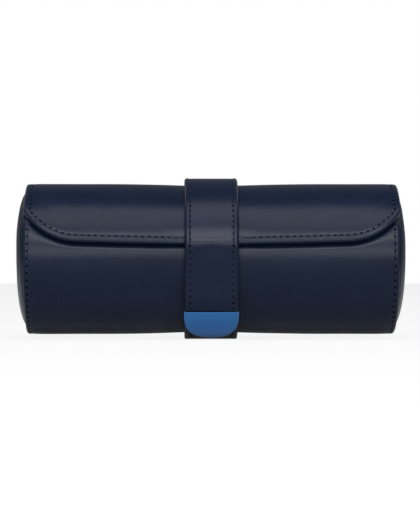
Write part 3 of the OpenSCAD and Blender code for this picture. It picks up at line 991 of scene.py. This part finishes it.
def build_wrap_lining():
    """Suede inside the wrap, turned round the board's edge towards the hinge."""
    finish = finishes()
    half = END_FACE - 2.7
    columns = spread(-half, half, 91)
    turn = HINGE_ANGLE + arc_angle(HINGE_BARE - 0.25, CASE_RADIUS)
    rows = [(LINING_IN, a) for a in spread(360 + LIP_ANGLE - 0.4, turn + 1.4, 120)]
    rows += [(LINING_IN + 0.25, turn + 0.5), (LINING_IN + 0.9, turn), (CASE_RADIUS - 1.75, turn),
             (CASE_RADIUS - 1.4, turn - 0.3), (CASE_RADIUS - 1.3, turn - 1.2)]
    bm = bmesh.new()
    grid(bm, columns, rows, lambda x, row: place(x, (row[0] - waist(x)) * direction(row[1])))
    bmesh.ops.recalc_face_normals(bm, faces=bm.faces)
    piece = finish_mesh("wrap_lining", bm, [finish["brushed_suede"]])
    thicken(piece, "suede", 0.45)
    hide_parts("case_lining")
    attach(piece, "case")


def lining_edge(x):
    """Where the flap's lining ends at x, along the flap's arc."""
    slope = 10 * (flap_length(min(abs(x) + 0.1, HALF_FLAP)) - flap_length(abs(x)))
    end = flap_length(x) - LINING_INSET * 1.02
    if abs(x) >= HALF_FLAP - 0.2:
        return end
    return end - LINING_INSET * (math.sqrt(1 + slope**2) - 1)


def build_flap_lining():
    """Suede under the flap, and the board that it's glued to."""
    finish = finishes()
    half = HALF_FLAP - LINING_INSET
    near = [0, 0.3, 0.8, 2, 4, 7]
    hinge = HINGE_BARE + 1

    def under(x, v):
        end = lining_edge(x)
        s = end - v if v < 9 else -hinge + (end - 9 + hinge) * (90 - v) / 81
        thick = 1.62 + (FLAP_STACK - 1.62 + 0.03) * smoothstep(1, 7, s)
        return flap_point(x, s, -thick)

    bm = bmesh.new()
    grid(bm, with_ends(half, near, 61), near + spread(10, 90, 60), under)
    bmesh.ops.recalc_face_normals(bm, faces=bm.faces)
    piece = finish_mesh("flap_suede", bm, [finish["brushed_suede"]])
    thicken(piece, "suede", 0.4)
    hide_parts("flap_lining")
    bend_flap(piece)

    bm = bmesh.new()
    grid(bm, spread(-half, half, 61), spread(0, 1, 61),
         lambda x, t: flap_point(x, hinge + (lining_edge(x) - hinge) * t, -1.75))
    bmesh.ops.recalc_face_normals(bm, faces=bm.faces)
    piece = finish_mesh("flap_stiffener", bm, [finish["pressed_board"]])
    thicken(piece, "board", 0.5)
    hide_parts("flap_board")
    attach(piece, "flap")


def build_end_linings():
    """The suede facings inside both ends."""
    finish = finishes()
    for side, name in SIDES:
        bm = bmesh.new()
        bmesh.ops.create_circle(bm, cap_ends=True, segments=96, radius=LINING_IN + 0.3)
        bmesh.ops.inset_region(bm, faces=bm.faces[:], thickness=1.2)
        widest = max(bm.faces, key=lambda f: f.calc_area())
        bmesh.ops.inset_region(bm, faces=[widest], thickness=6)
        for v in bm.verts:
            reach = v.co.xy.length / LINING_IN
            fall = 0.5 * (1 - smoothstep(0.9, 1.0, reach))
            v.co = place(side * (END_FACE - 2.75 - fall), v.co.xy)
        piece = finish_mesh("end_suede_" + name, bm, [finish["brushed_suede"]])
        thicken(piece, "suede", 0.4)
        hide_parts("end_lining_" + name)
        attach(piece, "case")


DIVIDER_RISE = 20
MOUTH_ANGLE = (HINGE_ANGLE + LIP_ANGLE) / 2


def build_dividers():
    """The two suede-covered dividers, with their straight edges across the mouth."""
    finish = finishes()
    for _, name in SIDES:
        low, high = box_mm("divider_cover_" + name)
        radius = LINING_IN - WAIST_DEPTH - 0.05
        bm = bmesh.new()
        bmesh.ops.create_circle(bm, cap_ends=True, segments=120, radius=radius)
        bmesh.ops.bisect_plane(bm, geom=[*bm.verts, *bm.edges, *bm.faces],
                               plane_co=(0, DIVIDER_RISE, 0), plane_no=(0, 1, 0), clear_outer=True)
        tips = [v for v in bm.verts if abs(v.co.y - DIVIDER_RISE) < 0.01]
        bmesh.ops.bevel(bm, geom=tips, offset=4, segments=6, affect="VERTICES", profile=0.5,
                        material=-1)
        rounded_slab(bm, high.x - low.x, 1.1, 4)
        turn = Matrix.Rotation(math.radians(MOUTH_ANGLE - 90), 2)
        for v in bm.verts:
            v.co = place(low.x + v.co.z, turn @ v.co.xy)
        outwards(bm)
        piece = finish_mesh("divider_" + name, bm, [finish["brushed_suede"]], 60)
        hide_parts("divider_cover_" + name)
        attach(piece, "case")


# ---------------------------------------------------------------- cushions


CUSHION_CAP = 2.5 * MM
CUSHION_SEAM = 0.84
CORD_RADIUS = 0.55


def puffed(bm, seam, frames=20):
    """Swells a closed cushion with cloth under pressure, held at its two seams."""
    mesh = bpy.data.meshes.new("pad")
    bmesh.ops.scale(bm, vec=(MM, MM, MM), verts=bm.verts)
    bm.to_mesh(mesh)
    bm.free()
    pad = bpy.data.objects.new("pad", mesh)
    bpy.context.scene.collection.objects.link(pad)
    remesh = pad.modifiers.new("voxels", "REMESH")
    remesh.mode = "VOXEL"
    remesh.voxel_size = 2.6 * MM
    depsgraph = bpy.context.evaluated_depsgraph_get()
    even = bpy.data.meshes.new_from_object(pad.evaluated_get(depsgraph))
    pad.modifiers.clear()
    pad.data = even
    before = [v.co.copy() for v in even.vertices]
    held = pad.vertex_groups.new(name="seams")
    sewn = [v.index for v in even.vertices if abs(abs(v.co.x) - seam * MM) < 1.5 * MM]
    held.add(sewn, 1.0, "REPLACE")
    cloth = pad.modifiers.new("cloth", "CLOTH")
    cloth.settings.vertex_group_mass = "seams"
    cloth.settings.use_pressure = True
    cloth.settings.uniform_pressure_force = 4
    cloth.settings.effector_weights.gravity = 0
    cloth.point_cache.frame_start = 1
    cloth.point_cache.frame_end = frames
    for frame_number in range(1, frames + 1):
        bpy.context.scene.frame_set(frame_number)
    depsgraph = bpy.context.evaluated_depsgraph_get()
    after = bpy.data.meshes.new_from_object(pad.evaluated_get(depsgraph))
    bm = bmesh.new()
    bm.from_mesh(after)
    for v, start in zip(bm.verts, before):
        move = v.co - start
        if move.length > CUSHION_CAP:
            v.co = start + move.normalized() * CUSHION_CAP
    bpy.data.objects.remove(pad)
    bpy.context.scene.frame_set(1)
    bmesh.ops.smooth_vert(bm, verts=bm.verts, factor=0.4,
                          use_axis_x=True, use_axis_y=True, use_axis_z=True)
    bmesh.ops.subdivide_edges(bm, edges=bm.edges[:], cuts=1, use_grid_fill=True, smooth=1.0)
    bmesh.ops.scale(bm, vec=(1 / MM, 1 / MM, 1 / MM), verts=bm.verts)
    return bm


def seam_cord(bm, x, radius):
    """A thin cord sewn round a cushion where the plane at x cuts it."""
    cut = bm.copy()
    made = bmesh.ops.bisect_plane(cut, geom=[*cut.verts, *cut.edges, *cut.faces], dist=1e-5,
                                  plane_co=(x, 0, 0), plane_no=(1, 0, 0))
    loop = follow([g for g in made["geom_cut"] if isinstance(g, bmesh.types.BMEdge)])
    points = [v.co.copy() for v in loop]
    cut.free()
    cord = bmesh.new()
    line = bpy.data.curves.new("cord", "CURVE")
    line.dimensions = "3D"
    line.bevel_depth = radius
    line.bevel_resolution = 2
    spline = line.splines.new("POLY")
    spline.points.add(len(points) - 1)
    spline.use_cyclic_u = True
    for knot, point in zip(spline.points, points):
        knot.co = (*point, 1)
    holder = bpy.data.objects.new("cord", line)
    tube = holder.to_mesh()
    cord.from_mesh(tube)
    holder.to_mesh_clear()
    bpy.data.objects.remove(holder)
    bpy.data.curves.remove(line)
    return cord


def build_cushions(settings):
    """Three suede cushions, swollen by cloth and fitted to their solids."""
    finish = finishes()
    turn = Matrix.Rotation(math.radians(90 - MOUTH_ANGLE), 3, "X")
    depth, height = settings.cushion_depth / MM, settings.cushion_height / MM
    for name in ("left", "centre", "right"):
        low, high = box_mm("cushion_cover_" + name)
        centre = (low + high) / 2
        half = (high.x - low.x) / 2
        seam = CUSHION_SEAM * half
        ring = []
        for i in range(48):
            c, s = math.cos(math.tau * i / 48), math.sin(math.tau * i / 48)
            ring.append(((depth / 2 - 1.5) * math.copysign(abs(c) ** 0.8, c),
                         (height / 2 - 1.5) * math.copysign(abs(s) ** 0.8, s)))
        stations = []
        for i in range(41):
            t = -1 + 2 * i / 40
            x = math.sin(t * math.pi / 2) * (half - 1.2)
            edge = min(abs(x) / seam, 1)
            scale = 0.96 + 0.04 * (1 - edge**4)
            if abs(x) > seam:
                beyond = (abs(x) - seam) / (half - 1.2 - seam)
                scale *= 0.955 + 0.045 * math.sqrt(max(1 - beyond**2, 0))
            stations.append(lambda w, h, x=x, scale=scale: Vector((x, w * scale, h * scale)))
        bm = bmesh.new()
        loft(bm, ring, stations)
        bm = puffed(bm, seam)
        spans = [max(abs(v.co[i]) for v in bm.verts) for i in range(3)]
        fit = (half / spans[0], depth / 2 / spans[1], height / 2 / spans[2])
        bmesh.ops.scale(bm, vec=fit, verts=bm.verts)
        for v in bm.verts:
            near = abs(abs(v.co.x) - seam)
            v.co.yz *= 1 - 0.018 * math.exp(-((near / 1.6) ** 2))
        pieces = [("cushion_" + name, bm)] + [
            ("cushion_cord_%s_%s" % (name, word), seam_cord(bm, side * seam, CORD_RADIUS))
            for side, word in SIDES
        ]
        for label, shape in pieces:
            for v in shape.verts:
                v.co = centre + turn @ v.co
            bmesh.ops.recalc_face_normals(shape, faces=shape.faces)
            piece = finish_mesh(label, shape, [finish["brushed_suede"]], 70)
            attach(piece, "cushion_" + name)
            if label == "cushion_" + name:
                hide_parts("cushion_cover_" + name)


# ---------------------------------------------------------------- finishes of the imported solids


NODE_FINISH = {
    "board": "pressed_board",
    "filler": "pressed_board",
    "divider_core": "pressed_board",
    "padding": "foam_padding",
    "cushion_core": "foam_padding",
    "rivets": "plated_steel",
    "magnet": "plated_steel",
}


def paint_nodes():
    """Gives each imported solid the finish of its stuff."""
    finish = finishes()
    for name, node in frame["nodes"].items():
        key = next((word for word in NODE_FINISH if word in name), None)
        material = finish[NODE_FINISH[key]] if key else finish["cut_leather"]
        node.data.materials.clear()
        node.data.materials.append(material)


# ---------------------------------------------------------------- stage


PHOTO_WIDTH, PHOTO_HEIGHT = 420, 525
CASE_PIXEL = (210.6, 259.5)
MM_PER_PIXEL = 0.5415
LAMP_DISTANCE = 1.4


def build_camera(settings):
    """A camera level with the axis of the case, framed as in the photograph."""
    distance = settings.camera_distance / MM
    camera_data = bpy.data.cameras.new("camera")
    camera_data.sensor_fit = "VERTICAL"
    camera_data.sensor_height = 36
    camera_data.lens = distance / MM_PER_PIXEL / PHOTO_HEIGHT * 36
    camera_data.clip_end = 20
    camera = bpy.data.objects.new("camera", camera_data)
    azimuth = settings.camera_azimuth
    target = Vector(((PHOTO_WIDTH / 2 - CASE_PIXEL[0]) * MM_PER_PIXEL, 0,
                     AXIS + (CASE_PIXEL[1] - PHOTO_HEIGHT / 2) * MM_PER_PIXEL)) * MM
    away = Vector((math.sin(azimuth), -math.cos(azimuth), 0)) * distance * MM
    camera.location = target + away
    camera.location.z = AXIS * MM
    camera.rotation_euler = (target - camera.location).to_track_quat("-Z", "Y").to_euler()
    bpy.context.scene.collection.objects.link(camera)
    bpy.context.scene.camera = camera


def build_lamps(settings):
    """Soft lamps that face the case, each at an elevation and a turn from the front."""
    aim = Vector((0, 0, AXIS * MM))
    for name, elevation, turn, size, power in (
        ("low_softbox", 13, 0, (1.3, 0.3), settings.low_light),
        ("front_softbox", 38, 0, (1.3, 0.4), settings.front_light),
        ("overhead_softbox", 72, 0, (1.3, 0.8), settings.overhead_light),
        ("left_fill", 20, -75, (0.8, 0.8), settings.fill_light),
        ("right_fill", 20, 75, (0.8, 0.8), settings.fill_light),
        ("back_left_fill", 32, -132, (0.9, 0.6), settings.fill_light),
        ("back_right_fill", 32, 132, (0.9, 0.6), settings.fill_light),
    ):
        data = bpy.data.lights.new(name, "AREA")
        data.shape = "RECTANGLE"
        data.size, data.size_y = size
        data.energy = power
        lamp = bpy.data.objects.new(name, data)
        lamp.visible_camera = False
        up, turn = math.radians(elevation), math.radians(turn)
        lamp.location = aim + LAMP_DISTANCE * Vector(
            (math.sin(turn) * math.cos(up), -math.cos(turn) * math.cos(up), math.sin(up)))
        lamp.rotation_euler = (aim - lamp.location).to_track_quat("-Z", "Y").to_euler()
        bpy.context.scene.collection.objects.link(lamp)


GLOSSY_SHARE = 0.09


def seen_directly(nodes, links, share):
    """A factor of share for rays that show the background, in the camera, in metal or in glass."""
    path = nodes.new("ShaderNodeLightPath")
    total = None
    shares = {"Is Camera Ray": 1, "Is Transmission Ray": 1, "Is Glossy Ray": GLOSSY_SHARE}
    for output, part in shares.items():
        more = nodes.new("ShaderNodeMath")
        more.operation = "MULTIPLY_ADD"
        links.new(path.outputs[output], more.inputs[0])
        more.inputs[1].default_value = part * share
        if total:
            links.new(total, more.inputs[2])
        else:
            more.inputs[2].default_value = 0
        total = more.outputs["Value"]
    return total


def build_room(settings):
    """A dim room with a white background all round for the rays that see it."""
    world = bpy.data.worlds.new("studio")
    bpy.context.scene.world = world
    world.use_nodes = True
    nodes, links = world.node_tree.nodes, world.node_tree.links
    light = nodes["Background"]
    light.inputs["Color"].default_value = (1, 1, 1, 1)
    light.inputs["Strength"].default_value = settings.room_light
    shown = nodes.new("ShaderNodeBackground")
    shown.inputs["Color"].default_value = (1, 1, 1, 1)
    shown.inputs["Strength"].default_value = 1
    mix = nodes.new("ShaderNodeMixShader")
    links.new(seen_directly(nodes, links, 1.0), mix.inputs["Fac"])
    links.new(light.outputs["Background"], mix.inputs[1])
    links.new(shown.outputs["Background"], mix.inputs[2])
    links.new(mix.outputs["Shader"], nodes["World Output"].inputs["Surface"])


def build_floor():
    """A pale floor that keeps the shadow and otherwise shows as the white background."""
    bm = bmesh.new()
    bmesh.ops.create_grid(bm, x_segments=1, y_segments=1, size=3000)
    material = bpy.data.materials.new("pale_floor")
    material.use_nodes = True
    nodes, links = material.node_tree.nodes, material.node_tree.links
    surface = nodes["Principled BSDF"]
    surface.inputs["Base Color"].default_value = (0.6, 0.6, 0.6, 1)
    surface.inputs["Roughness"].default_value = 0.95
    glow = nodes.new("ShaderNodeEmission")
    glow.inputs["Color"].default_value = (1, 1, 1, 1)
    mix = nodes.new("ShaderNodeMixShader")
    links.new(seen_directly(nodes, links, 0.87), mix.inputs["Fac"])
    links.new(surface.outputs["BSDF"], mix.inputs[1])
    links.new(glow.outputs["Emission"], mix.inputs[2])
    links.new(mix.outputs["Shader"], nodes["Material Output"].inputs["Surface"])
    finish_mesh("floor", bm, [material])


# ---------------------------------------------------------------- add-on


class WatchCaseSettings(bpy.types.PropertyGroup):
    """The sizes, colours and lamps that a user would change"""

    leather_colour: FloatVectorProperty(
        name="Leather", description="Colour of the leather", subtype="COLOR", size=3,
        default=(0.003, 0.0074, 0.0214), min=0, max=1)
    suede_colour: FloatVectorProperty(
        name="Suede", description="Colour of the lining and the cushions", subtype="COLOR", size=3,
        default=(0.16, 0.18, 0.22), min=0, max=1)
    thread_colour: FloatVectorProperty(
        name="Thread", description="Colour of the stitches", subtype="COLOR", size=3,
        default=(0.008, 0.014, 0.034), min=0, max=1)
    tab_colour: FloatVectorProperty(
        name="Tab", description="Colour of the metal tab", subtype="COLOR", size=3,
        default=(0.039, 0.18, 0.46), min=0, max=1)
    case_stitch: FloatProperty(
        name="Case stitch", description="Pitch of the stitches round the ends, in millimetres",
        default=3.9, min=2, max=6)
    flap_stitch: FloatProperty(
        name="Flap stitch", description="Pitch of the stitches round the flap, in millimetres",
        default=3.5, min=2, max=6)
    strap_stitch: FloatProperty(
        name="Strap stitch", description="Pitch of the stitches along the strap, in millimetres",
        default=3.33, min=2, max=6)
    end_fullness: FloatProperty(
        name="End fullness", default=2.5, min=0, max=4,
        description="How far the padding of the ends sits towards the top, in millimetres")
    cushion_depth: FloatProperty(
        name="Cushion depth", description="Depth of a cushion across the mouth", unit="LENGTH",
        default=0.0508, min=0.04, max=0.053)
    cushion_height: FloatProperty(
        name="Cushion height", description="Height of a cushion towards the mouth", unit="LENGTH",
        default=0.0474, min=0.04, max=0.05)
    camera_distance: FloatProperty(
        name="Camera distance", description="From the camera to the case", unit="LENGTH",
        default=1.3, min=0.5, max=5)
    camera_azimuth: FloatProperty(
        name="Camera azimuth", description="Turn of the camera round the case", subtype="ANGLE",
        default=math.radians(-0.8))
    low_light: FloatProperty(
        name="Low light", default=8.8, min=0,
        description="Power of the low soft lamp before the case, in watts")
    front_light: FloatProperty(
        name="Front light", default=15, min=0,
        description="Power of the main soft lamp before the case, in watts")
    overhead_light: FloatProperty(
        name="Overhead light", default=11, min=0,
        description="Power of the soft lamp over the case, in watts")
    fill_light: FloatProperty(
        name="Fill light", default=1.5, min=0,
        description="Power of the soft lamps at the sides and the back, in watts")
    room_light: FloatProperty(
        name="Room light", description="Strength of the light from all round", default=0.1, min=0)


class WATCHCASE_OT_wrap(bpy.types.Operator):
    """Build the leather wrap and its lip"""

    bl_idname = "watchcase.wrap"
    bl_label = "Wrap"

    def execute(self, context):
        build_wrap(context.scene.watch_case)
        build_lip(context.scene.watch_case)
        return {"FINISHED"}


class WATCHCASE_OT_ends(bpy.types.Operator):
    """Build the two padded ends"""

    bl_idname = "watchcase.ends"
    bl_label = "Ends"

    def execute(self, context):
        build_ends(context.scene.watch_case)
        return {"FINISHED"}


class WATCHCASE_OT_flap(bpy.types.Operator):
    """Build the flap and its stitches"""

    bl_idname = "watchcase.flap"
    bl_label = "Flap"

    def execute(self, context):
        build_flap(context.scene.watch_case)
        return {"FINISHED"}


class WATCHCASE_OT_strap(bpy.types.Operator):
    """Build the strap, the band and their stitches"""

    bl_idname = "watchcase.strap"
    bl_label = "Strap"

    def execute(self, context):
        build_strap(context.scene.watch_case)
        return {"FINISHED"}


class WATCHCASE_OT_tab(bpy.types.Operator):
    """Build the metal tab and its backing"""

    bl_idname = "watchcase.tab"
    bl_label = "Tab"

    def execute(self, context):
        build_tab()
        return {"FINISHED"}


class WATCHCASE_OT_lining(bpy.types.Operator):
    """Build the suede lining of the wrap, the flap and the ends"""

    bl_idname = "watchcase.lining"
    bl_label = "Lining"

    def execute(self, context):
        build_wrap_lining()
        build_flap_lining()
        build_end_linings()
        return {"FINISHED"}


class WATCHCASE_OT_dividers(bpy.types.Operator):
    """Build the two dividers"""

    bl_idname = "watchcase.dividers"
    bl_label = "Dividers"

    def execute(self, context):
        build_dividers()
        return {"FINISHED"}


class WATCHCASE_OT_cushions(bpy.types.Operator):
    """Build the three watch cushions"""

    bl_idname = "watchcase.cushions"
    bl_label = "Cushions"

    def execute(self, context):
        build_cushions(context.scene.watch_case)
        return {"FINISHED"}


class WATCHCASE_OT_finishes(bpy.types.Operator):
    """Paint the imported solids"""

    bl_idname = "watchcase.finishes"
    bl_label = "Finishes"

    def execute(self, context):
        paint_nodes()
        return {"FINISHED"}


class WATCHCASE_OT_stage(bpy.types.Operator):
    """Build the room, the floor, the lamps and the camera"""

    bl_idname = "watchcase.stage"
    bl_label = "Stage"

    def execute(self, context):
        context.scene.view_settings.view_transform = "Standard"
        build_camera(context.scene.watch_case)
        build_room(context.scene.watch_case)
        build_floor()
        build_lamps(context.scene.watch_case)
        return {"FINISHED"}


STEPS = [
    WATCHCASE_OT_wrap, WATCHCASE_OT_ends, WATCHCASE_OT_flap, WATCHCASE_OT_strap, WATCHCASE_OT_tab,
    WATCHCASE_OT_lining, WATCHCASE_OT_dividers, WATCHCASE_OT_cushions, WATCHCASE_OT_finishes,
    WATCHCASE_OT_stage,
]


class WATCHCASE_PT_panel(bpy.types.Panel):
    """Lists the settings and the steps in the sidebar"""

    bl_idname = "WATCHCASE_PT_panel"
    bl_label = "Watch Case"
    bl_space_type = "VIEW_3D"
    bl_region_type = "UI"
    bl_category = "Watch Case"

    def draw(self, context):
        for name in WatchCaseSettings.__annotations__:
            self.layout.prop(context.scene.watch_case, name)
        for step in STEPS:
            self.layout.operator(step.bl_idname)


CLASSES = [WatchCaseSettings, *STEPS, WATCHCASE_PT_panel]


def register():
    for cls in CLASSES:
        bpy.utils.register_class(cls)
    bpy.types.Scene.watch_case = PointerProperty(type=WatchCaseSettings)


def unregister():
    del bpy.types.Scene.watch_case
    for cls in reversed(CLASSES):
        bpy.utils.unregister_class(cls)


def main():
    """Builds every piece in order."""
    register()
    for step in STEPS:
        getattr(bpy.ops.watchcase, step.bl_idname.split(".")[1])()


if __name__ == "__main__":
    main()
